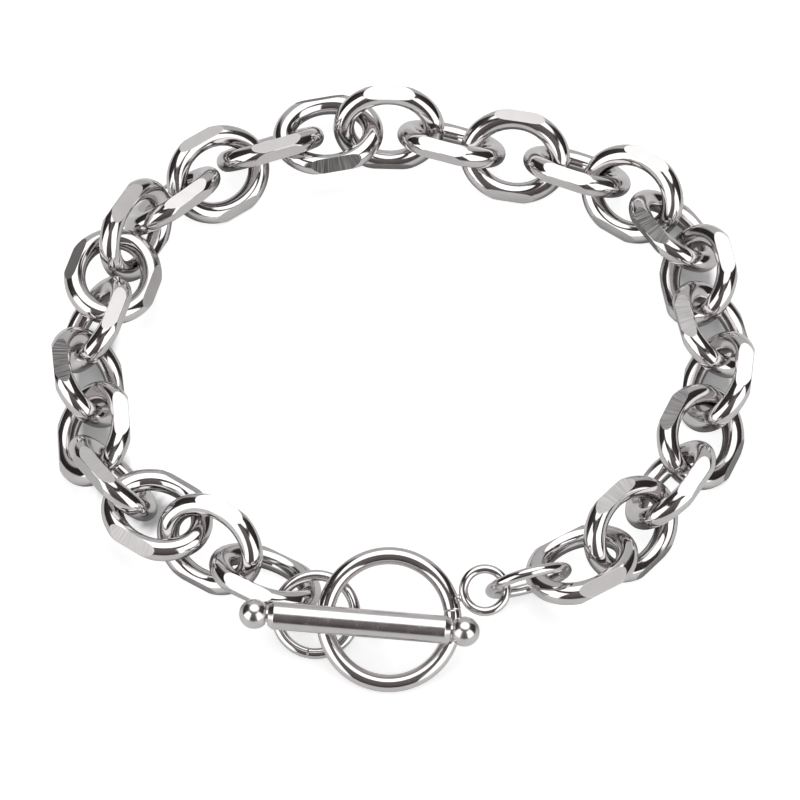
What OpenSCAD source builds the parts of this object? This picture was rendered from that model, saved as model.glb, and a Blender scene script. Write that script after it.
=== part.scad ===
// Chain bracelet of heavy oval links with ground flats, closed by a ring-and-bar clasp.
// It lies in its loop on a table, with the clasp at the front (-Y) and +Z up. Millimetres.

/* [Links] */
// Length of one link over its ends
link_len = 12.2; // [11.6:0.1:14]
// Width of one link over its sides
link_w = 10.4; // [9.8:0.1:11.4]
// Diameter of the wire of a link
wire_d = 2.3; // [1.8:0.05:2.4]
// Depth of the four flats ground along the sides of a link
flat_cut = 0.38; // [0.1:0.02:0.5]
// How far two links laid out straight slide in each other
play = 0.7; // [0.5:0.05:1.1]

/* [Clasp ring] */
// Outer diameter of the clasp ring
ring_od = 14.8; // [14:0.1:18]
// Diameter of the wire of the clasp ring
ring_wire = 1.8; // [1.4:0.1:2.2]
// Slope of the clasp ring, whose far edge is propped up
ring_tilt = 28; // [20:1:34]

/* [Eyes] */
// Outer diameter of the eyes soldered to the clasp ring and to the bar
eye_od = 5.3; // [5:0.1:6]
// Diameter of the wire of an eye
eye_wire = 0.95; // [0.7:0.05:1.1]

/* [Bar] */
// Length of the bar over its end balls
bar_len = 24.4; // [22:0.2:30]
// Diameter of the bar
bar_d = 2.85; // [2.2:0.05:3.2]
// Diameter of the balls that end the bar
ball_d = 3.05; // [2.4:0.05:3.6]
// Diameter of the necks between the bar and its balls
neck_d = 2.2; // [1.4:0.1:2.4]
// Length of the necks between the bar and its balls
neck_len = 0.35; // [0.2:0.05:1]

/* [Jump rings] */
// Outer diameter of the jump rings between the chain and the clasp
jump_od = 9.2; // [8.6:0.1:11]
// Diameter of the wire of a jump ring
jump_wire = 1.15; // [0.9:0.05:1.3]

/* [Clearances] */
// Gap between clasp pieces that rest on each other
seat_gap = 0.15; // [0.1:0.05:0.3]
// Gap between a jump ring and the end of the link that it holds
hook_gap = 0.45; // [0.3:0.05:0.6]

/* [Hidden] */
$fn = 96;
steel = [0.82, 0.82, 0.84];

// How each link lies, from the bar's end of the chain clockwise round to the ring's end.
// ROLL leans a link about its own length and TURN bends it to the right of the link before,
// both in degrees. DRAW is the share of the full pitch that it is pulled out to.
ROLL = 0;
TURN = 1;
DRAW = 2;
LAID = [
    // ROLL, TURN, DRAW
    [31, 0, 0.96],
    [-54, 2, 0.97],
    [0, 3, 0.95],
    [57, 18, 0.95],
    [-40, 32, 1.04],
    [45, -2, 1.04],
    [-50, 23, 0.93],
    [12, 0, 0.91],
    [70, 12, 0.89],
    [-47, 20, 0.9],
    [38, 6, 0.92],
    [-50, 16, 0.96],
    [3, 8, 0.95],
    [64, 14, 1.0],
    [-38, 17, 1.04],
    [42, -8, 1.04],
    [-38, 12, 1.01],
    [45, 13, 0.96],
    [-36, 22, 0.96],
    [45, 23, 1.02],
    [-38, -2, 1.02],
    [45, 19, 1.04],
    [-36, 17, 1.04],
    [45, 7, 1.04],
    [-49, 11, 1.02],
    [17, 16, 0.94],
];
count = len(LAID);
function link_name(i) = str("link_", i < 9 ? "0" : "", i + 1);

// Links: the centreline has half circles for its ends and short straight sides
wire_r = wire_d / 2;
half_len = (link_len - wire_d) / 2;
half_w = (link_w - wire_d) / 2;
end_x = half_len - half_w;
pitch = link_len - 2 * wire_d - play;
// Half the arc of the wire that a flat takes away
flat_a = acos((wire_r - flat_cut) / wire_r);
flat_slope = 45;

// Clasp ring and eyes, each by the radius of its centreline
ring_r = (ring_od - ring_wire) / 2;
eye_r = (eye_od - eye_wire) / 2;
jump_r = (jump_od - jump_wire) / 2;
// Solder fills the gap between the ring and its eye, and ends inside their wires
solder_gap = 0.15;
solder_d = 0.9 * eye_wire;
solder_len = solder_gap + solder_d;
// Direction of the eye on the ring, and how far from its middle the jump ring's wire can lie
eye_a = 17;
eye_x = (ring_r + eye_r + (ring_wire + eye_wire) / 2 + solder_gap) * cos(eye_a);
eye_y = (ring_r + eye_r + (ring_wire + eye_wire) / 2 + solder_gap) * sin(eye_a);
eye_slack = eye_r - (eye_wire + jump_wire) / 2 - 2 * seat_gap;

// Bar: it lies across the ring, a little left of its middle, with its eye through the ring
bar_x = -0.46 * ring_r;
bar_y = -0.08 * ring_r;
bar_turn = -4.8;
bar_rise = max(bar_d, ball_d) / 2 + ring_wire / 2 + seat_gap;
bar_eye_sink = 0.25;
bar_eye_drop = bar_d / 2 + eye_r + eye_wire / 2 - bar_eye_sink;
ball_x = (bar_len - ball_d) / 2;
bar_half = ball_x - ball_d / 2 * cos(asin(min(1, neck_d / ball_d))) - neck_len;
bar_edge = 0.25;
// Depth of the left jump ring under the middle of the clasp ring's wire
under_ring = (ring_wire + jump_wire) / 2 + 2 * seat_gap;
// How far to the left it is pulled in the bar's eye
bar_eye_x = sqrt(max(0, pow(eye_slack, 2) - pow(bar_eye_drop - bar_rise - under_ring, 2)));

function unit(v) = v / norm(v);
function heading_dir(a) = [cos(a), sin(a)];

// Height of a link's middle when one of its sides rests on the table
function rest_h(roll) =
    half_w * sin(abs(roll)) + wire_r * cos(max(0, flat_a - abs(flat_slope - abs(roll))));
// A link that lies nearly flat hangs in its neighbours, this much lower
flat_roll = 30;
hang = 0.1;
function mean(v) = v * [for (x = v) 1] / len(v);
function near(i) = [for (j = [i - 1, i + 1]) if (j >= 0 && j < count) rest_h(LAID[j][ROLL])];
function link_h(i) =
    abs(LAID[i][ROLL]) > flat_roll ? rest_h(LAID[i][ROLL])
    : max(rest_h(LAID[i][ROLL]), mean(near(i)) - hang);

// Clasp frame: on the ring's plane, with the ring's middle over the point where y is zero
ring_h = ring_r * sin(ring_tilt) + ring_wire / 2;
function from_clasp(p) = [
    p.x,
    p.y * cos(ring_tilt) - p.z * sin(ring_tilt),
    ring_h + p.y * sin(ring_tilt) + p.z * cos(ring_tilt)
];
clasp_face = [0, -sin(ring_tilt), cos(ring_tilt)];

// The point at a given height that a jump ring reaches from one of its hooks
function reach(from, bearing, span, height) =
    let (rise = height - from.z, run = sqrt(span * span - rise * rise))
    [from.x + run * cos(bearing), from.y + run * sin(bearing), height];

// Left jump ring: from the bar's eye to the first link, a little above that link's middle
left_lift = 0.5;
left_in = from_clasp([bar_x - bar_eye_x, bar_y, -under_ring]);
left_out = reach(left_in, 150, 0.97 * 2 * jump_r, link_h(0) + left_lift);
// Right jump ring: from the ring's eye to the last link
right_in = from_clasp([eye_x + eye_slack * cos(eye_a), eye_y + eye_slack * sin(eye_a), 0]);
right_out = reach(right_in, 21, 2 * jump_r, link_h(count - 1));
right_face = [-sin(19) * cos(21), cos(19) * cos(21), sin(21)];

// Chain: each link is a chord of the loop, and all bends share the turn that closes it
hook_x = half_len - wire_r - jump_wire / 2 - hook_gap;
// The last link has slid this much further into its jump ring
right_slack = 0.6;
steps = [for (row = LAID) pitch * row[DRAW]];
chords = [
    for (i = [0 : count - 1])
    i == 0 ? steps[i] / 2 + hook_x
    : i == count - 1 ? steps[i] / 2 + hook_x - right_slack
    : steps[i]
];
bends = [for (i = 0, s = 0; i < count; i = i + 1, s = i < count ? s + LAID[i][TURN] : s) s];
function chain_span(k) = [for (i = [0 : count - 1]) chords[i]] *
    [for (i = [0 : count - 1]) heading_dir(-k * bends[i])];
gap = [right_out.x - left_out.x, right_out.y - left_out.y];
function close_loop(low, high, n) =
    let (k = (low + high) / 2)
    n == 0 ? k
    : norm(chain_span(k)) > norm(gap) ? close_loop(k, high, n - 1)
    : close_loop(low, k, n - 1);
curl = close_loop(0.6, 1.15, 30);
span = chain_span(curl);
start_a = atan2(gap.y, gap.x) - atan2(span.y, span.x);
headings = [for (b = bends) start_a - curl * b];
corners = [
    for (i = 0, p = [left_out.x, left_out.y]; i < count; p = p + chords[i] * heading_dir(headings[i]), i = i + 1) p
];
middles = [
    for (i = [0 : count - 1])
    corners[i] + (i == 0 ? hook_x : steps[i] / 2) * heading_dir(headings[i])
];

// Centre of the loop's outline, which is the origin
function oval_reach(i, axis) = let (a = headings[i] - axis)
    end_x * abs(cos(a)) + half_w * norm([cos(a), sin(a) * cos(LAID[i][ROLL])]) + wire_r;
low_x = min([for (i = [0 : count - 1]) middles[i].x - oval_reach(i, 0)]);
high_x = max([for (i = [0 : count - 1]) middles[i].x + oval_reach(i, 0)]);
low_y = from_clasp([0, -ring_r, 0]).y - ring_wire / 2;
high_y = max([for (i = [0 : count - 1]) middles[i].y + oval_reach(i, 90)]);
centre = [(low_x + high_x) / 2, (low_y + high_y) / 2, 0];

module torus(radius, wire)
    rotate_extrude()
    translate([radius, 0])
    circle(d = wire);

// The wire of one link, with its long axis along X: two half rings and two straight sides
module link_wire()
    for (side = [0, 180]) rotate([0, 0, side]) {
        translate([end_x, 0, 0])
            rotate([0, 0, -90])
            rotate_extrude(angle = 180)
            translate([half_w, 0])
            circle(d = wire_d);
        translate([-end_x, half_w, 0])
            rotate([0, 90, 0])
            cylinder(d = wire_d, h = 2 * end_x);
    }

// One oval link, with two flats ground on each of its sides
module link_body()
    difference() {
        link_wire();
        for (side = [0, 180], face = [-1, 1])
            rotate([0, 0, side])
            translate([0, half_w, 0])
            rotate([face * flat_slope, 0, 0])
            translate([-link_len / 2, wire_r - flat_cut, -wire_d])
            cube([link_len, wire_d, 2 * wire_d]);
    }

module link(i)
    color(steel)
    translate([middles[i].x, middles[i].y, link_h(i)] - centre)
    rotate([0, 0, headings[i]])
    rotate([LAID[i][ROLL], 0, 0])
    link_body();

// A jump ring through two points, turned to face a given way; slack swings it to the front
module jump_ring(from, to, face) {
    u = unit(to - from);
    w = unit(face - (face * u) * u);
    v = cross(w, u);
    front = v.y > 0 ? -1 : 1;
    sag = sqrt(max(0, jump_r * jump_r - pow(norm(to - from) / 2, 2)));
    o = (from + to) / 2 + front * sag * v - centre;
    color(steel)
    multmatrix([
        [u.x, v.x, w.x, o.x],
        [u.y, v.y, w.y, o.y],
        [u.z, v.z, w.z, o.z],
        [0, 0, 0, 1]
    ])
    torus(jump_r, jump_wire);
}

module jump_ring_left() jump_ring(left_in, left_out, clasp_face);

module jump_ring_right() jump_ring(right_in, right_out, right_face);

module in_clasp()
    translate([0, 0, ring_h] - centre)
    rotate([ring_tilt, 0, 0])
    children();

module toggle_ring()
    color(steel)
    in_clasp() {
        torus(ring_r, ring_wire);
        translate([eye_x, eye_y, 0]) torus(eye_r, eye_wire);
        rotate([0, 0, eye_a])
            translate([ring_r + (ring_wire + solder_gap) / 2, 0, 0])
            rotate([0, 90, 0])
            cylinder(d = solder_d, h = solder_len, center = true);
    }

// Half of the bar along +X: body, chamfered edge, neck and ball
module bar_end() {
    rotate([0, 90, 0]) cylinder(d = bar_d, h = bar_half - bar_edge);
    translate([bar_half - bar_edge, 0, 0])
        rotate([0, 90, 0])
        cylinder(d1 = bar_d, d2 = bar_d - 2 * bar_edge, h = bar_edge);
    rotate([0, 90, 0]) cylinder(d = min(neck_d, bar_d - 2 * bar_edge), h = ball_x);
    translate([ball_x, 0, 0]) sphere(d = ball_d);
}

module toggle_bar()
    color(steel)
    in_clasp()
    translate([bar_x, bar_y, bar_rise])
    rotate([0, 0, bar_turn]) {
        for (side = [0, 180]) rotate([0, 0, side]) bar_end();
        translate([0, 0, -bar_eye_drop])
            rotate([90, 0, 0])
            torus(eye_r, eye_wire);
    }

for (i = [0 : count - 1])
    link(i);
jump_ring_left();
jump_ring_right();
toggle_ring();
toggle_bar();
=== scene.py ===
"""Heavy oval-link chain bracelet with a ring-and-bar clasp, lying in a loop on a pale table.

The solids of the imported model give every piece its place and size. Each piece here is a
surface worked out on a grid of two parameters, with the finish of the real one.
"""

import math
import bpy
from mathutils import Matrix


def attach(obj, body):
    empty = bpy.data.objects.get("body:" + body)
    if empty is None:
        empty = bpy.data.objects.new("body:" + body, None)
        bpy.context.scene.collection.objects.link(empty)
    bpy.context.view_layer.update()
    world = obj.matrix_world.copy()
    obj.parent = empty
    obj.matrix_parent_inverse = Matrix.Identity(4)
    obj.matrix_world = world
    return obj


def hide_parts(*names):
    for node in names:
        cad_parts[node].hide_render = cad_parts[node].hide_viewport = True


bl_info = {
    "name": "Chain bracelet",
    "version": (1, 0, 0),
    "blender": (4, 5, 0),
    "location": "3D View > Sidebar > Bracelet",
    "description": "Dresses a chain bracelet's solids with ground and polished steel pieces",
    "category": "Add Mesh",
}

import bpy
import numpy as np
from bpy.props import FloatProperty, FloatVectorProperty, PointerProperty, StringProperty
from mathutils import Vector

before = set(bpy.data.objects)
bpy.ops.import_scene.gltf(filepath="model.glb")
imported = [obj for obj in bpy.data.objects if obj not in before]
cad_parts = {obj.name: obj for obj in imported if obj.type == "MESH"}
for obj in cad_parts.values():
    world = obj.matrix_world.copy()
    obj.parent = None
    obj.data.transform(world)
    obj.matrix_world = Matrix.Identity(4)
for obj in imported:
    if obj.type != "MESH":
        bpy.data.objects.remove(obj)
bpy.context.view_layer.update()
MM = 0.001
BODY = "root"
LINKS = sorted(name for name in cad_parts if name.startswith("link_"))

# Points round a link's wire: across a flat, and between flats on the outer and the inner side.
# Steps along a quarter of it: over its end up to the flats, and along the flats.
FLAT_POINTS = 9
FRONT_POINTS = 6
BACK_POINTS = 20
END_STEPS = 16
SIDE_STEPS = 14


# Sizes and colours that a user would change


class LinkSizes(bpy.types.PropertyGroup):
    """Shape and finish of the oval links."""

    flat_slope: FloatProperty(
        name="Slope of the flats",
        description="Angle between a link's own plane and the way a ground flat faces",
        default=math.radians(45),
        unit="ROTATION",
    )
    edge: FloatProperty(
        name="Edge",
        description="Width of the rounding where a ground flat meets the round wire",
        default=0.04 * MM,
        unit="LENGTH",
    )
    deeper: FloatProperty(
        name="Last grind",
        description="How much deeper the last grinding takes a flat than the solid's flat",
        default=0.06 * MM,
        unit="LENGTH",
    )
    # Each link's share makes its flats rougher and more deeply lined, and darkens their colour as
    # painted shade.
    coarse_and_shaded: StringProperty(
        name="Coarse links",
        description="Numbers of the links ground by a coarse belt, each with its share from 0 to 1",
        default="3:0.5 4:0.25 6:1 13:1 19:1 21:0.6 23:0.8 25:0.6",
    )
    line_pitch: FloatProperty(
        name="Pitch of the grinding lines",
        description="Mean distance between the lines that the grinding belt left on a flat",
        default=0.13 * MM,
        unit="LENGTH",
    )


class ClaspSizes(bpy.types.PropertyGroup):
    """Shape of the ring, the bar and their eyes."""

    eye_outer: FloatProperty(
        name="Eye diameter",
        description="Outer diameter of the eyes soldered to the ring and to the bar",
        default=5.3 * MM,
        unit="LENGTH",
    )
    eye_wire: FloatProperty(
        name="Eye wire",
        description="Diameter of the wire of an eye",
        default=0.95 * MM,
        unit="LENGTH",
    )
    bar_across: FloatProperty(
        name="Bar diameter",
        description="Diameter of the bar between its chamfered ends",
        default=2.85 * MM,
        unit="LENGTH",
    )
    ball_across: FloatProperty(
        name="Ball diameter",
        description="Diameter of the balls that end the bar",
        default=3.05 * MM,
        unit="LENGTH",
    )
    neck_across: FloatProperty(
        name="Neck diameter",
        description="Diameter of the neck between the bar and a ball",
        default=2.2 * MM,
        unit="LENGTH",
    )
    joint_gap: FloatProperty(
        name="Joint gap",
        description="Gap left where the two ends of a jump ring's wire are pressed together",
        default=0.05 * MM,
        unit="LENGTH",
    )


class Finish(bpy.types.PropertyGroup):
    """Colours of the steel and of the table."""

    steel: FloatVectorProperty(
        name="Steel",
        description="Colour that polished stainless steel gives to what it reflects",
        default=(0.64, 0.62, 0.618),
        size=3,
        subtype="COLOR",
    )
    # Painted shade: a colour far darker than steel, put between the ridges of the coarsely ground
    # flats.
    ground: FloatVectorProperty(
        name="Ground steel",
        description="Colour of the coarsely ground flats, which scatter the light",
        default=(0.06, 0.057, 0.057),
        size=3,
        subtype="COLOR",
    )
    table: FloatVectorProperty(
        name="Table",
        description="Colour of the pale table",
        default=(0.6, 0.6, 0.6),
        size=3,
        subtype="COLOR",
    )


class Studio(bpy.types.PropertyGroup):
    """Where the camera stands and how bright the light tent is."""

    elevation: FloatProperty(
        name="Camera elevation",
        description="Angle of the camera above the table",
        default=math.radians(55),
        unit="ROTATION",
    )
    distance: FloatProperty(
        name="Camera distance",
        description="Distance from the camera to the point that it looks at",
        default=483.5 * MM,
        unit="LENGTH",
    )
    aim: FloatVectorProperty(
        name="Aim",
        description="Point on the table that the camera looks at",
        default=(-0.4 * MM, -0.65 * MM, 0),
        size=3,
        subtype="TRANSLATION",
    )
    focal_length: FloatProperty(
        name="Focal length",
        description="Focal length of the lens in millimetres on a sensor 36 mm wide",
        default=205,
    )
    tent: FloatProperty(
        name="Tent brightness",
        description="Brightness of the white cloth of the light tent",
        default=1.9,
    )


# Points, grids and meshes


class Place:
    """A node's own axes, middle and half sizes, in metres.

    The axes are the principal axes of its surface: the second moments of all triangles,
    each by its area, are summed. X is the longest and Z the shortest. The middle is halfway
    between the lowest and highest points along them.
    """

    def __init__(self, node):
        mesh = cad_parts[node].data
        points = np.empty(len(mesh.vertices) * 3)
        mesh.vertices.foreach_get("co", points)
        points = points.reshape(-1, 3)
        mesh.calc_loop_triangles()
        corners = np.empty(len(mesh.loop_triangles) * 3, int)
        mesh.loop_triangles.foreach_get("vertices", corners)
        sides = points[corners].reshape(-1, 3, 3)
        areas = np.linalg.norm(
            np.cross(sides[:, 1] - sides[:, 0], sides[:, 2] - sides[:, 0]), axis=1
        )
        heavy = np.einsum("i,ij->j", areas, sides.mean(1)) / areas.sum()
        sides = sides - heavy
        sums = sides.sum(1)
        moments = np.einsum("i,ikj,ikl->jl", areas, sides, sides)
        moments += np.einsum("i,ij,il->jl", areas, sums, sums)
        _, axes = np.linalg.eigh(moments)
        self.axes = axes[:, ::-1].T.copy()
        self.points = points
        if self.axes[2][2] < 0:
            self.axes[2] *= -1
        self.face_along(np.cross(heavy, (0, 0, 1)))

    def face_along(self, way):
        """Turns X to the side that a way points to, keeps Z, and measures the node."""
        if self.axes[0] @ way < 0:
            self.axes[0] *= -1
        self.axes[1] = np.cross(self.axes[2], self.axes[0])
        along = self.points @ self.axes.T
        low = along.min(0)
        high = along.max(0)
        self.half = (high - low) / 2
        self.origin = self.axes.T @ ((low + high) / 2)

    def out(self, local):
        """Points given along the node's own axes, in the model's frame."""
        return self.origin + local @ self.axes

    def turn(self, local):
        """Directions given along the node's own axes, in the model's frame."""
        return local @ self.axes


class Surface:
    """Grids of points gathered into one mesh, with normals, a map in metres and a mask."""

    def __init__(self):
        self.points = []
        self.normals = []
        self.ground = []
        self.corners = []
        self.uvs = []
        self.count = 0

    def grid(self, points, normals, run, girth, ground=None, wrap=False):
        """Adds quads between the neighbours of a grid of points.

        Rows run along the piece and columns run round it, where the last column always
        joins the first. With wrap, the last row joins the first row too. run and girth are
        the distances along the rows and round the columns, one value more than the rows or
        columns that wrap.
        """
        rows, cols = points.shape[:2]
        steps = rows if wrap else rows - 1
        row, col = np.meshgrid(np.arange(steps), np.arange(cols), indexing="ij")
        quads = np.stack(
            [
                row * cols + col,
                (row + 1) % rows * cols + col,
                (row + 1) % rows * cols + (col + 1) % cols,
                row * cols + (col + 1) % cols,
            ],
            axis=-1,
        )
        u = np.stack([run[row], run[row + 1], run[row + 1], run[row]], axis=-1)
        v = np.stack([girth[col], girth[col], girth[col + 1], girth[col + 1]], axis=-1)
        if ground is None:
            ground = np.zeros((rows, cols))
        self.corners.append(quads.reshape(-1, 4) + self.count)
        self.uvs.append(np.stack([u, v], axis=-1).reshape(-1, 2))
        self.points.append(points.reshape(-1, 3))
        self.normals.append(normals.reshape(-1, 3))
        self.ground.append(ground.reshape(-1))
        self.count += rows * cols

    def cap(self, first, count, centre, normal, last):
        """Closes an end with a fan of triangles from a centre to the first or last row."""
        ring = first + np.arange(count)
        after = first + (np.arange(count) + 1) % count
        middle = np.full(count, self.count)
        fan = np.stack([after, ring, middle] if last else [ring, after, middle], axis=-1)
        self.corners.append(fan)
        self.uvs.append(np.zeros((count * 3, 2)))
        self.points.append(np.array([centre]))
        self.normals.append(np.array([normal]))
        self.ground.append(np.zeros(1))
        self.count += 1

    def build(self, name, material, sharp=None):
        """Makes the object, rides it on the model's body and gives it its material.

        With sharp, edges over that angle are sharp and the given normals aren't used.
        """
        mesh = bpy.data.meshes.new(name)
        faces = [face for block in self.corners for face in block.tolist()]
        mesh.from_pydata(np.concatenate(self.points).tolist(), [], faces)
        if len(mesh.polygons) != len(faces):
            raise RuntimeError(f"{name} lost faces")
        layer = mesh.uv_layers.new(name="Map")
        layer.data.foreach_set("uv", np.concatenate(self.uvs).ravel())
        mask = mesh.attributes.new("ground", "FLOAT", "POINT")
        mask.data.foreach_set("value", np.concatenate(self.ground))
        mesh.polygons.foreach_set("use_smooth", np.ones(len(faces), bool))
        mesh.update()
        if sharp is None:
            mesh.normals_split_custom_set_from_vertices(np.concatenate(self.normals).tolist())
        else:
            mesh.set_sharp_from_angle(angle=sharp)
        mesh.materials.append(material)
        piece = bpy.data.objects.new(name, mesh)
        bpy.context.collection.objects.link(piece)
        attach(piece, BODY)
        return piece


def wire_ways(out, rise, cols):
    """Directions round a wire, from the way out of its bend through its rise.

    They are the cosine and the sine of even angles times those two.
    """
    angle = np.linspace(0, 2 * np.pi, cols, endpoint=False)[None, :, None]
    return np.cos(angle) * out[:, None, :] + np.sin(angle) * rise


def ring_tube(surface, place, middle, radius, wire, axes, rows=160, cols=40, radius_at=None):
    """Adds a closed ring of round wire: a circle of the wire carried round a larger circle.

    axes are the ring's own two in-plane directions and its normal. radius_at gives the
    wire's radius as a function of the angle round the ring, for a groove or a swelling.
    """
    angle = np.linspace(0, 2 * np.pi, rows, endpoint=False)
    wire_r = np.full(rows, wire / 2) if radius_at is None else radius_at(angle)
    out = np.cos(angle)[:, None] * axes[0] + np.sin(angle)[:, None] * axes[1]
    normals = wire_ways(out, axes[2], cols)
    points = middle + radius * out[:, None, :] + wire_r[:, None, None] * normals
    run = np.linspace(0, 2 * np.pi * radius, rows + 1)
    girth = np.linspace(0, np.pi * wire, cols + 1)
    surface.grid(place.out(points), place.turn(normals), run, girth, wrap=True)


# Links


def flat_edge(theta, oval, wire_r, slope, depth):
    """How far a ground flat reaches round the wire, and where its middle lies.

    The flat is a plane at a given depth from the link's middle. At each place along the
    wire it cuts the wire's circle where the cosine of the angle from the flat's middle is
    the plane's distance from the wire's centre over the wire's radius.
    """
    side = np.abs(np.sin(theta)) * math.cos(slope)
    rise = math.sin(slope)
    across = np.hypot(side, rise)
    centre = np.abs(oval[:, 1]) * math.cos(slope)
    share = (depth - centre) / (wire_r * across)
    return np.arccos(np.clip(share, -1, 1)), np.arctan2(rise, side)


def oval_line(theta, half_len, half_w):
    """The centreline of a link, as the angle of its outward normal goes round.

    Its distance from the middle along that normal is a mean plus a part that goes with the
    cosine of twice the angle, so it is half_len at the ends and half_w at the sides.
    """
    mean = (half_len + half_w) / 2
    part = (half_len - half_w) / 2
    normal = np.stack([np.cos(theta), np.sin(theta), np.zeros_like(theta)], axis=-1)
    tangent = np.stack([-np.sin(theta), np.cos(theta), np.zeros_like(theta)], axis=-1)
    reach = mean + part * np.cos(2 * theta)
    slide = -2 * part * np.sin(2 * theta)
    return reach[:, None] * normal + slide[:, None] * tangent, normal


def link_columns(tip, end_steps, flat_steps):
    """Angles round the oval, close together at the tips of the flats.

    One quarter runs from the link's end to its side, and is mirrored into the others.
    """
    quarter = np.pi / 2
    end_part = tip * np.sin(np.linspace(0, quarter, end_steps, endpoint=False))
    flat_part = quarter - (quarter - tip) * np.cos(np.linspace(0, quarter, flat_steps + 1))
    first = np.concatenate([end_part, flat_part])
    half = np.concatenate([first, np.pi - first[-2::-1]])
    return np.concatenate([half[:-1], half[:-1] + np.pi])


def link_surface(place, sizes):
    """One oval link: a round wire carried along an oval, with four flats cut along its sides.

    Columns of points keep to the flats' edges. Across a flat they lie on the chord between
    its edges, and elsewhere on the wire's circle. Where two flats overlap on the link's
    side, they meet in a narrow ridge. The centreline is half a wire away from the hole.
    """
    wire_r = place.half[2]
    half_len = place.half[0] - wire_r
    local = (place.points - place.origin) @ place.axes.T
    beside = np.abs(local[:, 0]) < 1.0 * MM
    half_w = np.abs(local[beside, 1]).min() + wire_r
    slope = sizes.flat_slope
    facing = place.axes.T @ np.array([0, math.cos(slope), math.sin(slope)])
    depth = (place.points @ facing).max() - place.origin @ facing - sizes.deeper
    trial = np.linspace(0, np.pi / 2, 4001)
    reach, _ = flat_edge(trial, oval_line(trial, half_len, half_w)[0], wire_r, slope, depth)
    tip = trial[np.argmax(reach > 0)]
    theta = link_columns(tip, END_STEPS, SIDE_STEPS)
    line, normal = oval_line(theta, half_len, half_w)
    reach, middle = flat_edge(theta, line, wire_r, slope, depth)
    cut = reach > 0
    # Beyond a flat's tip its grid lines spread out again over the round wire
    from_side = np.abs(np.arcsin(np.clip(np.abs(np.sin(theta)), 0, 1)))
    widest = np.radians(20)
    margin = np.radians(0.3)
    beyond = np.radians(1.5)
    ridge = np.radians(1)
    spread = widest * np.sqrt(np.clip(1 - from_side / tip, 0, 1))
    rounding = sizes.edge / 2 / wire_r
    inner = np.where(cut, reach, spread) + margin
    outer = inner + np.where(cut, rounding, beyond)
    inner_low = np.minimum(inner, middle - 2 * ridge)
    outer_low = np.minimum(outer, middle - ridge)
    lap = cut & (inner_low < reach)

    shares = np.linspace(0, 1, FLAT_POINTS)[:, None]
    band = np.concatenate([[-outer_low], -inner_low + (inner_low + inner) * shares, [outer]]).T
    front = np.linspace(-1, 1, FRONT_POINTS + 2)[1:-1] * (middle - outer_low)[:, None]
    gap = (2 * np.pi - 2 * (middle + outer))[:, None]
    back = (middle + outer)[:, None] + gap * np.linspace(0, 1, BACK_POINTS + 2)[1:-1]
    upper = middle[:, None] + band
    lower = 2 * np.pi - upper[:, ::-1]
    angle = np.concatenate([front, upper, back, lower], axis=1)
    on_band = np.zeros(upper.shape, bool)
    on_band[:, 1:-1] = cut[:, None]
    no_front = np.zeros(front.shape, bool)
    no_back = np.zeros(back.shape, bool)
    on_flat = np.concatenate([no_front, on_band, no_back, on_band], axis=1)

    # Distance from the wire's centre: its radius, or less on a flat, whose points are even
    sign = np.where(angle > np.pi, -1, 1)
    turned = np.where(angle > np.pi, 2 * np.pi - angle, angle) - middle[:, None]
    drop = np.cos(reach)[:, None]
    start = -np.where(lap, np.cos(reach) * np.tan(inner_low), np.sin(reach))[:, None]
    share = (turned + inner_low[:, None]) / (inner_low + inner)[:, None]
    chord = start + (np.sin(reach)[:, None] - start) * share
    flat_angle = middle[:, None] + np.arctan2(chord, np.broadcast_to(drop, chord.shape))
    flat_angle = np.where(sign < 0, 2 * np.pi - flat_angle, flat_angle)
    on_ridge = lap[:, None] & (turned < -inner_low[:, None])
    angle = np.where(on_flat, flat_angle, angle)
    radius = np.where(on_flat, np.hypot(chord, drop), 1)
    radius = wire_r * np.where(on_ridge, drop / np.cos(inner_low)[:, None], radius)
    rise = np.array([0, 0, 1])
    ways = np.cos(angle)[..., None] * normal[:, None, :] + np.sin(angle)[..., None] * rise
    points = line[:, None, :] + radius[..., None] * ways
    facing_y = np.sign(np.sin(theta))[:, None] * math.cos(slope) * np.ones_like(angle)
    flats = np.stack([np.zeros_like(angle), facing_y, sign * math.sin(slope)], axis=-1)
    normals = np.where(on_flat[..., None], flats, ways)
    steps = np.linalg.norm(np.diff(line, axis=0, append=line[:1]), axis=1)
    run = np.concatenate([[0], np.cumsum(steps)])
    girth = np.linspace(0, 2 * np.pi * wire_r, angle.shape[1] + 1)
    surface = Surface()
    surface.grid(
        place.out(points), place.turn(normals), run, girth, on_flat.astype(float), True
    )
    return surface


class BRACELET_OT_links(bpy.types.Operator):
    """Dress every oval link with its ground flats"""

    bl_idname = "bracelet.links"
    bl_label = "Make links"

    def execute(self, context):
        sizes = context.scene.bracelet_links
        material = link_steel(context)
        coarse_and_shaded = dict(item.split(":") for item in sizes.coarse_and_shaded.split())
        for index, node in enumerate(LINKS):
            surface = link_surface(Place(node), sizes)
            piece = surface.build(f"{node}_piece", material)
            # The share also sets how much painted shade darkens this link's flats.
            share = np.full(surface.count, float(coarse_and_shaded.get(str(index + 1), 0)))
            layer = piece.data.attributes.new("coarse_and_shaded", "FLOAT", "POINT")
            layer.data.foreach_set("value", share)
            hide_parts(node)
        return {"FINISHED"}


# Jump rings


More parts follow.
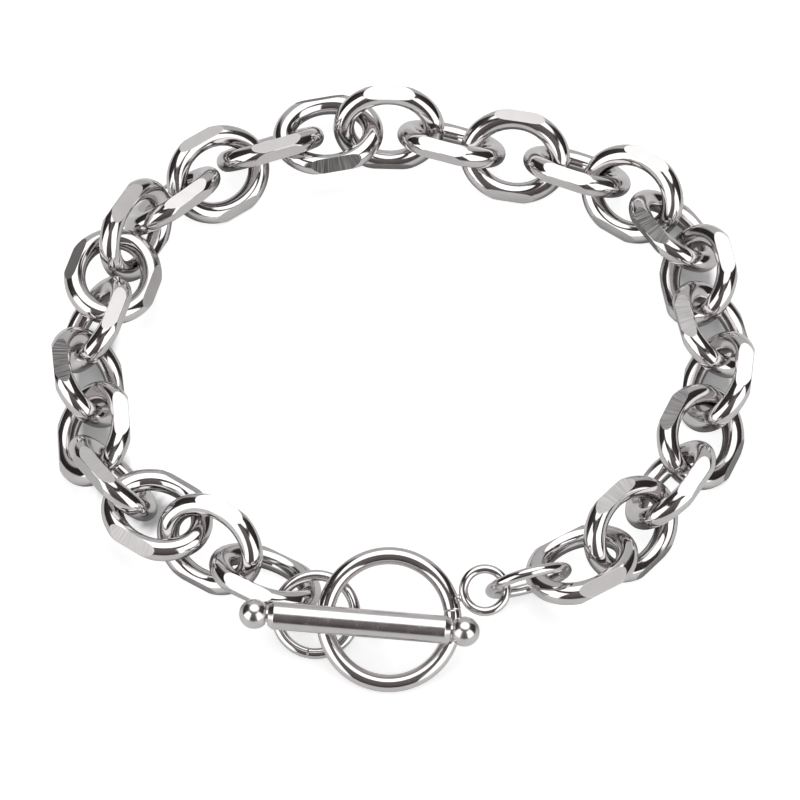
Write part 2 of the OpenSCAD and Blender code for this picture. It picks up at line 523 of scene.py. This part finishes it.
def jump_ring_surface(place, gap, joint_at):
    """A ring of round wire that is open by a thin gap, with flat cut ends.

    The wire's circle is carried round the ring, shrinks over a short rounding at both
    ends, and its two ends pass each other a little sideways, as pressed ends do.
    """
    rows = 161
    cols = 40
    wire = place.half[2] * 2
    radius = place.half[0] - wire / 2
    half_gap = gap / 2 / radius
    rounding = 0.05 * MM
    body = np.linspace(joint_at + half_gap, joint_at + 2 * np.pi - half_gap, rows)
    ease = np.array([0.0, 0.3, 0.7, 1.2])
    ends = ease * rounding / radius
    angle = np.concatenate([body[0] + ends, body[1:-1], body[-1] - ends[::-1]])
    depth = np.minimum(angle - body[0], body[-1] - angle) * radius
    shrink = rounding * np.clip(1 - depth / rounding, 0, 1) ** 2
    wire_r = wire / 2 - shrink
    share = (angle - body[0]) / (body[-1] - body[0])
    # The wire keeps inside the solid's thickness, so the sideways step is taken from its radius
    step = 0.012 * wire
    wire_r = wire_r - step
    lift = step * (2 * share - 1)
    out = np.stack([np.cos(angle), np.sin(angle), np.zeros_like(angle)], axis=-1)
    rise = np.array([0, 0, 1])
    ways = wire_ways(out, rise, cols)
    line = radius * out + lift[:, None] * rise
    points = line[:, None, :] + wire_r[:, None, None] * ways
    surface = Surface()
    run = np.append(angle, angle[-1]) * radius
    girth = np.linspace(0, np.pi * wire, cols + 1)
    surface.grid(place.out(points), place.turn(ways), run, girth)
    for row, last in ((0, False), (len(angle) - 1, True)):
        tangent = np.array([-math.sin(angle[row]), math.cos(angle[row]), 0.0])
        away = place.turn(tangent if last else -tangent)
        surface.cap(row * cols, cols, place.out(line[row]), away, last)
    return surface


class BRACELET_OT_jump_rings(bpy.types.Operator):
    """Dress the two jump rings, each with the joint of its bent wire"""

    bl_idname = "bracelet.jump_rings"
    bl_label = "Make jump rings"

    def execute(self, context):
        gap = context.scene.bracelet_clasp.joint_gap
        material = clasp_steel(context)
        # The way from each ring's middle to its joint, in the model's frame
        joints = {"jump_ring_left": (-0.2, -1.0, 0.3), "jump_ring_right": (0.3, 1.0, 0.2)}
        for node, way in joints.items():
            place = Place(node)
            way = place.axes @ np.array(way)
            surface = jump_ring_surface(place, gap, math.atan2(way[1], way[0]))
            piece = surface.build(f"{node}_piece", material, sharp=math.radians(40))
            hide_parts(node)
        return {"FINISHED"}


# Clasp


def solder_surface(surface, place, start, end, wide, thick, axes):
    """A solder joint between two wires: an elliptic section carried along a line.

    It is narrow halfway and flares towards both wires with the square of the distance
    from its middle.
    """
    rows = 17
    cols = 32
    waist = 0.62
    share = np.linspace(-1, 1, rows)
    angle = np.linspace(2 * np.pi, 0, cols, endpoint=False)
    flare = waist + (1 - waist) * share ** 2
    line = (start + end) / 2 + (end - start) / 2 * share[:, None]
    ring = np.stack([np.cos(angle), np.sin(angle)], axis=-1)
    points = (
        line[:, None, :]
        + (wide * flare)[:, None, None] * ring[None, :, :1] * axes[1]
        + (thick * flare)[:, None, None] * ring[None, :, 1:] * axes[2]
    )
    normals = ring[None, :, :1] * axes[1] + ring[None, :, 1:] * axes[2]
    normals = np.broadcast_to(normals, points.shape)
    run = np.append(share, 1) * np.linalg.norm(end - start) / 2
    girth = np.linspace(0, 2 * np.pi * thick, cols + 1)
    first = surface.count
    surface.grid(place.out(points), place.turn(normals), run, girth)
    last = first + (rows - 1) * cols
    surface.cap(first, cols, place.out(line[0]), place.turn(-axes[0]), False)
    surface.cap(last, cols, place.out(line[-1]), place.turn(axes[0]), True)


class BRACELET_OT_toggle_ring(bpy.types.Operator):
    """Dress the clasp ring with its joint, its eye and the solder between them"""

    bl_idname = "bracelet.toggle_ring"
    bl_label = "Make clasp ring"

    def execute(self, context):
        sizes = context.scene.bracelet_clasp
        place = Place("toggle_ring")
        place.face_along(np.array([1.0, 0.0, 0.0]))
        wire = place.half[2] * 2
        ring_outer = place.half[1]
        ring_r = ring_outer - wire / 2
        eye_r = (sizes.eye_outer - sizes.eye_wire) / 2
        axes = np.eye(3)
        middle = np.array([-place.half[0] + ring_outer, 0, 0])
        eye = np.array([place.half[0] - sizes.eye_outer / 2, 0, 0])
        joint = math.radians(-9)
        groove = 0.05 * MM
        groove_width = 0.06 * MM
        solder_wide = 0.62 * MM
        solder_thick = 0.42 * MM
        into_ring = 0.18 * wire
        into_eye = 0.25 * sizes.eye_wire

        def wire_radius(angle):
            """The wire's radius round the ring, with a thin groove where its ends are welded."""
            away = (angle - joint + np.pi) % (2 * np.pi) - np.pi
            return wire / 2 - groove * np.exp(-((away * ring_r / groove_width) ** 2))

        surface = Surface()
        ring_tube(surface, place, middle, ring_r, wire, axes, 1080, 48, wire_radius)
        ring_tube(surface, place, eye, eye_r, sizes.eye_wire, axes, 128, 36)
        start = middle + np.array([ring_outer - into_ring, 0, 0])
        end = eye - np.array([sizes.eye_outer / 2 - into_eye, 0, 0])
        solder_surface(surface, place, start, end, solder_wide, solder_thick, axes)
        piece = surface.build("toggle_ring_piece", clasp_steel(context), sharp=math.radians(50))
        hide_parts("toggle_ring")
        return {"FINISHED"}


def bar_outline(half_length, bar_r, ball_r, neck_r):
    """Half of the bar's outline, from its middle to the pole of its ball.

    A straight side, a cone at its end, a neck, a small fillet and the ball's arc. Returns
    distances along the bar and from its axis.
    """
    cone_long = 0.55 * MM
    cone_deep = 0.36 * MM
    soft = 0.05 * MM
    neck_low = neck_r - 0.35 * MM
    ball_x = half_length - ball_r
    start = math.asin(neck_r / ball_r)
    neck_end = ball_x - ball_r * math.cos(start)
    face_x = neck_end - 0.35 * MM
    side = np.linspace(0, face_x - cone_long - 2 * soft, 24)
    bend = np.array([
        [face_x - cone_long - soft, bar_r],
        [face_x - cone_long, bar_r - 0.12 * soft],
        [face_x - cone_long + soft, bar_r - 0.8 * soft],
        [face_x - soft, bar_r - cone_deep + 0.5 * soft],
        [face_x - 0.25 * soft, bar_r - cone_deep],
        [face_x, bar_r - cone_deep - 0.5 * soft],
        [face_x, neck_low + 0.5 * soft],
        [face_x + 0.4 * soft, neck_low],
        [neck_end - 0.16 * MM, neck_low],
    ])
    arc = np.linspace(start * 0.86, np.pi, 40)[:-1]
    ball = np.stack([ball_x - ball_r * np.cos(arc), ball_r * np.sin(arc)], axis=-1)
    straight = np.stack([side, np.full_like(side, bar_r)], axis=-1)
    return np.concatenate([straight, bend, ball])


class BRACELET_OT_toggle_bar(bpy.types.Operator):
    """Dress the bar with its cones, necks and balls, and the eye under it"""

    bl_idname = "bracelet.toggle_bar"
    bl_label = "Make clasp bar"

    def execute(self, context):
        sizes = context.scene.bracelet_clasp
        place = Place("toggle_bar")
        # The longest axis is the bar, the next is the way to its eye
        place.axes[2] = place.axes[1]
        if place.axes[2][2] < 0:
            place.axes[2] *= -1
        place.face_along(np.array([1.0, 0.0, 0.0]))
        ball_r = sizes.ball_across / 2
        axis_z = place.half[2] - ball_r
        half = bar_outline(place.half[0], sizes.bar_across / 2, ball_r, sizes.neck_across / 2)
        outline = np.concatenate([half[:0:-1] * (-1, 1), half])
        cols = 64
        angle = np.linspace(2 * np.pi, 0, cols, endpoint=False)
        ways = np.stack([np.zeros(cols), np.cos(angle), np.sin(angle)], axis=-1)
        line = np.stack(
            [outline[:, 0], np.zeros(len(outline)), np.full(len(outline), axis_z)], axis=-1
        )
        points = line[:, None, :] + outline[:, 1][:, None, None] * ways
        normals = np.broadcast_to(ways, points.shape)
        steps = np.linalg.norm(np.diff(outline, axis=0), axis=1)
        run = np.concatenate([[0], np.cumsum(steps)])
        surface = Surface()
        surface.grid(
            place.out(points),
            place.turn(normals),
            np.append(run, run[-1]),
            np.linspace(0, np.pi * sizes.bar_across, cols + 1),
        )
        along = np.array([1.0, 0, 0])
        tip = np.array([place.half[0], 0, axis_z])
        left = np.array([-place.half[0], 0, axis_z])
        last = (len(outline) - 1) * cols
        surface.cap(0, cols, place.out(left), place.turn(-along), False)
        surface.cap(last, cols, place.out(tip), place.turn(along), True)
        eye_r = (sizes.eye_outer - sizes.eye_wire) / 2
        eye = np.array([0, 0, -place.half[2] + sizes.eye_outer / 2])
        axes = np.array([[0, 0, 1.0], [1.0, 0, 0], [0, 1.0, 0]])
        ring_tube(surface, place, eye, eye_r, sizes.eye_wire, axes, 128, 36)
        solder_wide = 0.9 * MM
        solder_thick = 0.55 * MM
        start = eye + np.array([0, 0, eye_r + sizes.eye_wire * 0.2])
        end = np.array([0, 0, axis_z - sizes.bar_across * 0.42])
        solder_surface(surface, place, start, end, solder_wide, solder_thick, axes)
        piece = surface.build("toggle_bar_piece", bar_steel(context), sharp=math.radians(50))
        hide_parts("toggle_bar")
        return {"FINISHED"}


# Finishes


class Nodes:
    """Short ways to place and join the nodes of one shader tree."""

    def __init__(self, tree):
        self.tree = tree
        self.x = -1400

    def add(self, kind, **values):
        node = self.tree.nodes.new(kind)
        node.location = (self.x, 0)
        self.x += 180
        for name, value in values.items():
            setattr(node, name, value)
        return node

    def link(self, source, target):
        self.tree.links.new(source, target)

    def fill(self, socket, value):
        """Links a socket to a value that is another node's output, and else sets it."""
        if isinstance(value, bpy.types.NodeSocket):
            self.link(value, socket)
        else:
            socket.default_value = value

    def math(self, operation, first, second=0.0, third=0.0, clamp=False):
        node = self.add("ShaderNodeMath", operation=operation, use_clamp=clamp)
        for socket, value in zip(node.inputs, (first, second, third)):
            self.fill(socket, value)
        return node.outputs[0]

    def between(self, value, low, high, to_low=0.0, to_high=1.0, smooth=True):
        """Carries a value from one range to another and holds it at both ends."""
        node = self.add("ShaderNodeMapRange", clamp=True)
        node.interpolation_type = "SMOOTHSTEP" if smooth else "LINEAR"
        for socket, item in zip(node.inputs, (value, low, high, to_low, to_high)):
            self.fill(socket, item)
        return node.outputs[0]

    def noise(self, vector, scale, detail=2.0, rough=0.5):
        """A noise whose scale is in waves to a metre."""
        node = self.add("ShaderNodeTexNoise")
        self.fill(node.inputs["Vector"], vector)
        self.fill(node.inputs["Scale"], scale)
        self.fill(node.inputs["Detail"], detail)
        self.fill(node.inputs["Roughness"], rough)
        return node.outputs[0]

    def stretch(self, vector, scale, turn=(0, 0, 0)):
        """A vector scaled along each axis and then turned."""
        node = self.add("ShaderNodeMapping")
        self.fill(node.inputs["Vector"], vector)
        node.inputs["Scale"].default_value = scale
        node.inputs["Rotation"].default_value = turn
        return node.outputs[0]

    def scale(self, vector, factor):
        node = self.add("ShaderNodeVectorMath", operation="SCALE")
        self.fill(node.inputs[0], vector)
        self.fill(node.inputs["Scale"], factor)
        return node.outputs[0]

    def mask(self, name):
        """The value that the mesh carries under a name at each of its points."""
        return self.add("ShaderNodeAttribute", attribute_name=name).outputs["Fac"]

    def mix(self, kind, share, first, second):
        """The output of a Mix node, whose sockets stand at other places for each kind."""
        node = self.add("ShaderNodeMix", data_type=kind)
        start, out = {"FLOAT": (2, 0), "RGBA": (6, 2)}[kind]
        self.fill(node.inputs["Factor"], share)
        self.fill(node.inputs[start], first)
        self.fill(node.inputs[start + 1], second)
        return node.outputs[out]

    def bump(self, height, distance, strength, normal=None):
        node = self.add("ShaderNodeBump")
        self.fill(node.inputs["Height"], height)
        node.inputs["Distance"].default_value = distance
        self.fill(node.inputs["Strength"], strength)
        if normal is not None:
            self.link(normal, node.inputs["Normal"])
        return node.outputs[0]


def new_group(name, inputs, outputs):
    """An empty shader node group with named float or vector inputs and outputs."""
    group = bpy.data.node_groups.new(name, "ShaderNodeTree")
    for label, kind, default in inputs:
        socket = group.interface.new_socket(label, in_out="INPUT", socket_type=kind)
        if default is not None:
            socket.default_value = default
    for label, kind in outputs:
        group.interface.new_socket(label, in_out="OUTPUT", socket_type=kind)
    nodes = Nodes(group)
    start = nodes.add("NodeGroupInput")
    end = group.nodes.new("NodeGroupOutput")
    return group, nodes, start, end


def scratch_group():
    """Fine scratches: thin ridges of three noises that are long along X, and a haze."""
    name = "Fine scratches"
    if name in bpy.data.node_groups:
        return bpy.data.node_groups[name]
    group, nodes, start, end = new_group(
        name,
        [("Vector", "NodeSocketVector", None), ("Scale", "NodeSocketFloat", 1.0)],
        [("Scratches", "NodeSocketFloat"), ("Haze", "NodeSocketFloat")],
    )
    vector = nodes.scale(start.outputs["Vector"], start.outputs["Scale"])
    lines = None
    for turn in ((0.3, 0.2, 0.5), (1.2, 0.7, 2.1), (2.3, 1.9, 0.9)):
        drawn = nodes.stretch(vector, (1, 9, 9), turn)
        value = nodes.noise(drawn, 420.0, 1.0)
        ridge = nodes.math("ABSOLUTE", nodes.math("SUBTRACT", value, 0.5))
        line = nodes.between(ridge, 0.0, 0.012, 1.0, 0.0)
        place = nodes.between(nodes.noise(drawn, 90.0, 0.0), 0.56, 0.66)
        line = nodes.math("MULTIPLY", line, place)
        lines = line if lines is None else nodes.math("MAXIMUM", lines, line)
    haze = nodes.noise(vector, 700.0, 3.0)
    nodes.link(lines, end.inputs["Scratches"])
    nodes.link(haze, end.inputs["Haze"])
    return group


def waviness_group():
    """The soft unevenness of tumbled metal: a slow noise and a quarter of a quicker one."""
    name = "Tumbled unevenness"
    if name in bpy.data.node_groups:
        return bpy.data.node_groups[name]
    group, nodes, start, end = new_group(
        name,
        [("Vector", "NodeSocketVector", None), ("Size", "NodeSocketFloat", 1.0)],
        [("Height", "NodeSocketFloat")],
    )
    vector = nodes.scale(start.outputs["Vector"], start.outputs["Size"])
    slow = nodes.noise(vector, 330.0, 0.0)
    quick = nodes.noise(vector, 900.0, 1.0)
    height = nodes.math("ADD", slow, nodes.math("MULTIPLY", quick, 0.25))
    nodes.link(height, end.inputs["Height"])
    return group


def grinding_group():
    """Lines left by a grinding belt: a noise that is long across the link and short along it."""
    name = "Grinding lines"
    if name in bpy.data.node_groups:
        return bpy.data.node_groups[name]
    group, nodes, start, end = new_group(
        name,
        [("Map", "NodeSocketVector", None), ("Pitch", "NodeSocketFloat", 0.0001)],
        [("Height", "NodeSocketFloat"), ("Shade", "NodeSocketFloat")],
    )
    fine = nodes.math("DIVIDE", 1.0, start.outputs["Pitch"])
    lines = nodes.stretch(start.outputs["Map"], (1, 0.035, 1), (0, 0, 0.06))
    height = nodes.noise(lines, fine, 2.0, 0.65)
    broad = nodes.noise(lines, nodes.math("MULTIPLY", fine, 0.22), 1.0)
    patch = nodes.noise(start.outputs["Map"], 500.0, 1.0)
    shade = nodes.math("MULTIPLY", nodes.math("ADD", broad, height), patch)
    nodes.link(height, end.inputs["Height"])
    nodes.link(shade, end.inputs["Shade"])
    return group


def steel(name, colour, rough, wavy, drawn, scratched=0.16):
    """Polished stainless steel: mirror-like, a little uneven, with fine scratches.

    wavy is the height of its unevenness, which the flats don't have, and drawn the height
    of the lines left along the wire by its drawing, both in metres. scratched is how much
    rougher a scratch is. Returns the material and what a finish is added to.
    """
    material = bpy.data.materials.new(name)
    material.use_nodes = True
    nodes = Nodes(material.node_tree)
    shader = material.node_tree.nodes["Principled BSDF"]
    shader.location = (1800, 0)
    shader.inputs["Metallic"].default_value = 1.0
    shader.inputs["IOR"].default_value = 2.5
    place = nodes.add("ShaderNodeTexCoord")
    scratches = nodes.add("ShaderNodeGroup", node_tree=scratch_group())
    nodes.link(place.outputs["Object"], scratches.inputs["Vector"])
    uneven = nodes.add("ShaderNodeGroup", node_tree=waviness_group())
    nodes.link(place.outputs["Object"], uneven.inputs["Vector"])
    lines = nodes.noise(nodes.stretch(place.outputs["UV"], (0.04, 1, 1)), 6000.0, 2.0)
    haze = nodes.between(scratches.outputs["Haze"], 0.3, 0.7, 0.8, 1.25, smooth=False)
    roughness = nodes.math("MULTIPLY", haze, rough)
    roughness = nodes.math(
        "MULTIPLY_ADD", scratches.outputs["Scratches"], scratched, roughness, clamp=True
    )
    rounded = nodes.math("SUBTRACT", 1.0, nodes.mask("ground"))
    normal = nodes.bump(nodes.math("MULTIPLY", uneven.outputs["Height"], rounded), wavy, 1.0)
    normal = nodes.bump(lines, drawn, 1.0, normal)
    tone = nodes.between(scratches.outputs["Haze"], 0.3, 0.7, 0.97, 1.03, smooth=False)
    shade = nodes.scale(colour, tone)
    return material, nodes, shader, place, shade, roughness, normal


def plain_steel(context, name, **finish):
    """Polished steel with nothing added to it, made once."""
    if name in bpy.data.materials:
        return bpy.data.materials[name]
    colour = context.scene.bracelet_finish.steel
    material, nodes, shader, _, shade, roughness, normal = steel(name, colour, **finish)
    nodes.link(shade, shader.inputs["Base Color"])
    nodes.link(roughness, shader.inputs["Roughness"])
    nodes.link(normal, shader.inputs["Normal"])
    return material


def clasp_steel(context):
    """Polished steel of the ring, its eye and the jump rings."""
    return plain_steel(context, "polished_clasp", rough=0.09, wavy=6e-6, drawn=3e-7)


def bar_steel(context):
    """Duller steel of the bar, with deeper lines along its length."""
    return plain_steel(
        context, "drawn_bar", rough=0.2, wavy=4e-6, drawn=1.5e-6, scratched=0.05
    )


def link_steel(context):
    """Tumbled steel of the links, with belt-ground flats where the mesh's mask says so.

    A coarsely ground flat's lines are deeper and it is rougher. Its colour is painted shade
    too: dark between bright ridges, and darker on links with a larger share.
    """
    if "tumbled_links" in bpy.data.materials:
        return bpy.data.materials["tumbled_links"]
    finish = context.scene.bracelet_finish
    material, nodes, shader, place, shade, roughness, normal = steel(
        "tumbled_links", finish.steel, rough=0.09, wavy=9e-6, drawn=2e-7
    )
    fine_rough = 0.3
    line_depth = 12e-6
    flat = nodes.mask("ground")
    coarse_and_shaded = nodes.mask("coarse_and_shaded")
    grinding = nodes.add("ShaderNodeGroup", node_tree=grinding_group())
    nodes.link(place.outputs["UV"], grinding.inputs["Map"])
    grinding.inputs["Pitch"].default_value = context.scene.bracelet_links.line_pitch
    lined = nodes.between(grinding.outputs["Shade"], 0.2, 0.8, 0.38, 0.55, smooth=False)
    flat_rough = nodes.mix("FLOAT", coarse_and_shaded, fine_rough, lined)
    rough = nodes.mix("FLOAT", flat, roughness, flat_rough)
    nodes.link(rough, shader.inputs["Roughness"])
    depth = nodes.between(coarse_and_shaded, 0.0, 1.0, 0.12, 1.0, smooth=False)
    depth = nodes.math("MULTIPLY", flat, depth)
    depth = nodes.math("MULTIPLY", grinding.outputs["Height"], depth)
    nodes.link(nodes.bump(depth, line_depth, 1.0, normal), shader.inputs["Normal"])
    # Painted shade: the coarsely ground flats are dark between the ridges of their lines, the more
    # so the larger the link's share.
    bright = nodes.between(grinding.outputs["Height"], 0.35, 0.7, 0.0, 0.45, smooth=False)
    painted_groove_shade = nodes.mix("RGBA", bright, (*finish.ground, 1), shade)
    flat_shade = nodes.mix("RGBA", coarse_and_shaded, shade, painted_groove_shade)
    colour = nodes.mix("RGBA", flat, shade, flat_shade)
    nodes.link(colour, shader.inputs["Base Color"])
    return material


# Table, light and camera


def light_tent(world, brightness):
    """A white light tent, as seen from the table, painted by direction.

    The roof is white above an edge that is lowest at the back and goes up with the cosine
    of the angle from there. Two white walls stand at the front left and front right, with a
    dark seam under the roof and a dark opening for the camera between them. The sides are
    dark and the back is grey. Heights and widths are in degrees.
    """
    roof_back = 44.0
    roof_front = 76.0
    roof_low_at = math.radians(170)
    wall_from = 26.0
    wall_to = 79.0
    wall_top = 55.0
    rear_from = 134.0
    rear_light = 0.3
    door_light = 0.045
    side_light = 0.025
    white = (1, 1, 1, 1)
    warm_dark = (1, 0.86, 0.85, 1)
    world.use_nodes = True
    nodes = Nodes(world.node_tree)
    ways = nodes.add("ShaderNodeTexCoord")
    split = nodes.add("ShaderNodeSeparateXYZ")
    nodes.link(ways.outputs["Generated"], split.inputs[0])
    degrees = 180 / math.pi
    height = nodes.math("MULTIPLY", nodes.math("ARCSINE", split.outputs["Z"]), degrees)
    back = nodes.math("MULTIPLY", split.outputs["Y"], -1.0)
    heading = nodes.math("ARCTAN2", split.outputs["X"], back)
    away = nodes.math("COSINE", nodes.math("SUBTRACT", heading, roof_low_at))
    roof_edge = nodes.between(away, 1.0, -1.0, roof_back, roof_front, smooth=False)
    over = nodes.math("SUBTRACT", height, roof_edge)
    roof = nodes.between(over, -1.0, 2.0)
    around = nodes.math("MULTIPLY_ADD", heading, degrees, 4.5)
    around = nodes.math("ABSOLUTE", around)
    wall = nodes.between(around, wall_from, wall_from + 3.0)
    wall = nodes.math("MULTIPLY", wall, nodes.between(around, wall_to - 4.0, wall_to, 1.0, 0.0))
    wall = nodes.math("MULTIPLY", wall, nodes.between(height, wall_top - 3.0, wall_top, 1.0, 0.0))
    rear = nodes.between(around, rear_from, rear_from + 16.0)
    rear = nodes.math("MULTIPLY", rear, nodes.between(over, -3.0, 0.0, 1.0, 0.0))
    door = nodes.between(around, wall_from, wall_from + 3.0, 1.0, 0.0)
    light = nodes.math("MULTIPLY_ADD", rear, rear_light, nodes.math("ADD", wall, roof))
    dark = nodes.math("MULTIPLY_ADD", door, door_light, side_light)
    dark = nodes.math("MULTIPLY", dark, nodes.between(height, 0.0, 50.0, 0.45, 1.3, smooth=False))
    light = nodes.math("MULTIPLY", nodes.math("ADD", light, dark), brightness)
    warm = nodes.mix("RGBA", nodes.between(light, 0.0, 0.6), warm_dark, white)
    by_camera = nodes.add("ShaderNodeLightPath").outputs["Is Camera Ray"]
    background = world.node_tree.nodes["Background"]
    nodes.link(nodes.mix("FLOAT", by_camera, light, 1.0), background.inputs["Strength"])
    nodes.link(nodes.mix("RGBA", by_camera, warm, white), background.inputs["Color"])


def table_material(colour):
    """Matt pale table with a faint grain and a soft glow, stronger where the camera sees it.

    The mesh's masks say where links stand over the table. It is darker there, a painted
    shadow, though the camera sees more of the glow there, painted light that keeps it white.
    The camera sees less of the glow where they stand close, a painted shade inside their
    holes. What the steel reflects of the table is darker away from the bracelet too, a
    painted shade.
    """
    seen_glow = 0.63
    painted_light_under = 0.25
    mirrored_glow = 0.18
    material = bpy.data.materials.new("table")
    material.use_nodes = True
    nodes = Nodes(material.node_tree)
    shader = material.node_tree.nodes["Principled BSDF"]
    shader.inputs["Roughness"].default_value = 0.6
    place = nodes.add("ShaderNodeTexCoord")
    # Masks of painted shade: under the links, and in their holes where the camera looks through.
    under = nodes.mask("under")
    close = nodes.mask("close")
    by_camera = nodes.add("ShaderNodeLightPath").outputs["Is Camera Ray"]
    grain = nodes.between(nodes.noise(place.outputs["Object"], 60.0, 3.0), 0.3, 0.7, 0.99, 1.01)
    # Painted shadow: the table's colour is darker under the links.
    painted_shadow = nodes.between(under, 0.0, 1.0, 1.0, 0.6, smooth=False)
    # Painted shade: the table is darker away from the bracelet in what the steel reflects, not to
    # the camera.
    distance = nodes.add("ShaderNodeVectorMath", operation="LENGTH")
    nodes.link(place.outputs["Object"], distance.inputs[0])
    painted_far_shade = nodes.between(distance.outputs["Value"], 0.04, 0.2, 1.0, 0.5)
    painted_far_shade = nodes.mix("FLOAT", by_camera, painted_far_shade, 1.0)
    tone = nodes.math("MULTIPLY", nodes.math("MULTIPLY", grain, painted_shadow), painted_far_shade)
    nodes.link(nodes.scale(colour, tone), shader.inputs["Base Color"])
    # Painted light keeps the table white to the camera under the links, and painted shade darkens
    # it where the camera looks through their holes.
    seen = nodes.math("MULTIPLY_ADD", under, painted_light_under, seen_glow)
    seen = nodes.math("MULTIPLY", seen, nodes.between(close, 0.0, 1.0, 1.0, 0.22, smooth=False))
    # Painted shade: the glow that the steel reflects is weaker under the links.
    mirrored = nodes.math("MULTIPLY", nodes.math("SUBTRACT", 1.0, under), mirrored_glow)
    shader.inputs["Emission Color"].default_value = (1, 1, 1, 1)
    nodes.link(nodes.mix("FLOAT", by_camera, mirrored, seen), shader.inputs["Emission Strength"])
    return material


def ramp(value, low, high):
    """A share that goes smoothly from 0 to 1 between two values."""
    share = np.clip((value - low) / (high - low), 0, 1)
    return share * share * (3 - 2 * share)


def line_distance(points, corners):
    """Distance of each point on the table from the nearest part of a line through corners."""
    sides = np.diff(corners, axis=0)
    away = points[:, None] - corners[:-1]
    share = np.einsum("ijk,jk->ij", away, sides) / np.einsum("jk,jk->j", sides, sides)
    away = away - np.clip(share, 0, 1)[..., None] * sides
    return np.linalg.norm(away, axis=-1).min(1)


def table_surface(half, low):
    """A square sheet under the bracelet, with close rows and columns round the loop.

    Two masks of painted shade fade with the distance from the line through the links'
    middles. The first, a painted shadow under the links, goes all round the loop. The
    second, a painted shade in the links' holes, lies a little further back, where the camera
    looks through the links, and fades with the sine of the angle from the line between the
    two parts of the loop where its links stand closest.
    """
    back = 2.2 * MM
    between_parts = math.radians(13)
    fine = np.linspace(-45, 45, 121) * MM
    steps = np.concatenate([[-half, -half / 3], fine, [half / 3, half]])
    count = len(steps)
    x, y = np.meshgrid(steps, steps, indexing="ij")
    points = np.stack([x, y, np.full_like(x, low)], axis=-1).reshape(-1, 3)
    row, col = np.meshgrid(np.arange(count - 1), np.arange(count - 1), indexing="ij")
    first = (row * count + col).ravel()
    quads = np.stack([first, first + count, first + count + 1, first + 1], axis=-1)
    middles = np.array([Place(node).origin[:2] for node in LINKS])
    off = line_distance(points[:, :2], middles)
    off_back = line_distance(points[:, :2], middles + (0, back))
    angle = np.arctan2(points[:, 1] - back, points[:, 0])
    forth = np.abs(np.sin(angle - between_parts))
    # Painted shade: a shadow under the links all round the loop, and shade in their holes.
    under = 1 - ramp(off, 2.5 * MM, 5.0 * MM)
    close = (1 - ramp(off_back, 1.4 * MM, 2.5 * MM)) * (1 - ramp(forth, 0.38, 0.425))
    return points, quads, {"under": under, "close": close}


class BRACELET_OT_stage(bpy.types.Operator):
    """Set up the pale table, the light tent and the camera"""

    bl_idname = "bracelet.stage"
    bl_label = "Set stage"

    def execute(self, context):
        scene = context.scene
        studio = scene.bracelet_studio
        half = 1.5
        low = -0.02 * MM
        points, quads, masks = table_surface(half, low)
        mesh = bpy.data.meshes.new("table")
        mesh.from_pydata(points.tolist(), [], quads.tolist())
        # The table's mesh carries the masks of painted shade.
        for name, values in masks.items():
            mask = mesh.attributes.new(name, "FLOAT", "POINT")
            mask.data.foreach_set("value", values)
        mesh.materials.append(table_material(scene.bracelet_finish.table))
        table = bpy.data.objects.new("table", mesh)
        scene.collection.objects.link(table)
        world = bpy.data.worlds.new("light_tent")
        scene.world = world
        light_tent(world, studio.tent)
        scene.view_settings.view_transform = "Standard"
        lens = bpy.data.cameras.new("camera")
        lens.sensor_width = 36
        lens.lens = studio.focal_length
        lens.clip_start = 0.01
        lens.clip_end = 20
        camera = bpy.data.objects.new("camera", lens)
        scene.collection.objects.link(camera)
        aim = Vector(studio.aim)
        away = Vector((0, -math.cos(studio.elevation), math.sin(studio.elevation)))
        camera.location = aim + studio.distance * away
        camera.rotation_euler = away.to_track_quat("Z", "Y").to_euler()
        scene.camera = camera
        return {"FINISHED"}


# Panel and registration


class BRACELET_PT_panel(bpy.types.Panel):
    """Lists the pieces of the bracelet and their sizes."""

    bl_idname = "BRACELET_PT_panel"
    bl_label = "Chain bracelet"
    bl_space_type = "VIEW_3D"
    bl_region_type = "UI"
    bl_category = "Bracelet"

    def draw(self, context):
        layout = self.layout
        for group in SETTINGS:
            settings = getattr(context.scene, group)
            box = layout.box()
            for name in settings.__annotations__:
                box.prop(settings, name)
        for operator in STEPS:
            layout.operator(operator.bl_idname)


SETTINGS = {
    "bracelet_links": LinkSizes,
    "bracelet_clasp": ClaspSizes,
    "bracelet_finish": Finish,
    "bracelet_studio": Studio,
}
STEPS = (
    BRACELET_OT_stage,
    BRACELET_OT_links,
    BRACELET_OT_jump_rings,
    BRACELET_OT_toggle_ring,
    BRACELET_OT_toggle_bar,
)


def register():
    for name, group in SETTINGS.items():
        bpy.utils.register_class(group)
        setattr(bpy.types.Scene, name, PointerProperty(type=group))
    for operator in STEPS:
        bpy.utils.register_class(operator)
    bpy.utils.register_class(BRACELET_PT_panel)


def unregister():
    bpy.utils.unregister_class(BRACELET_PT_panel)
    for operator in reversed(STEPS):
        bpy.utils.unregister_class(operator)
    for name, group in SETTINGS.items():
        delattr(bpy.types.Scene, name)
        bpy.utils.unregister_class(group)


def main():
    """Makes everything."""
    register()
    bpy.ops.bracelet.stage()
    bpy.ops.bracelet.links()
    bpy.ops.bracelet.jump_rings()
    bpy.ops.bracelet.toggle_ring()
    bpy.ops.bracelet.toggle_bar()


if __name__ == "__main__":
    main()
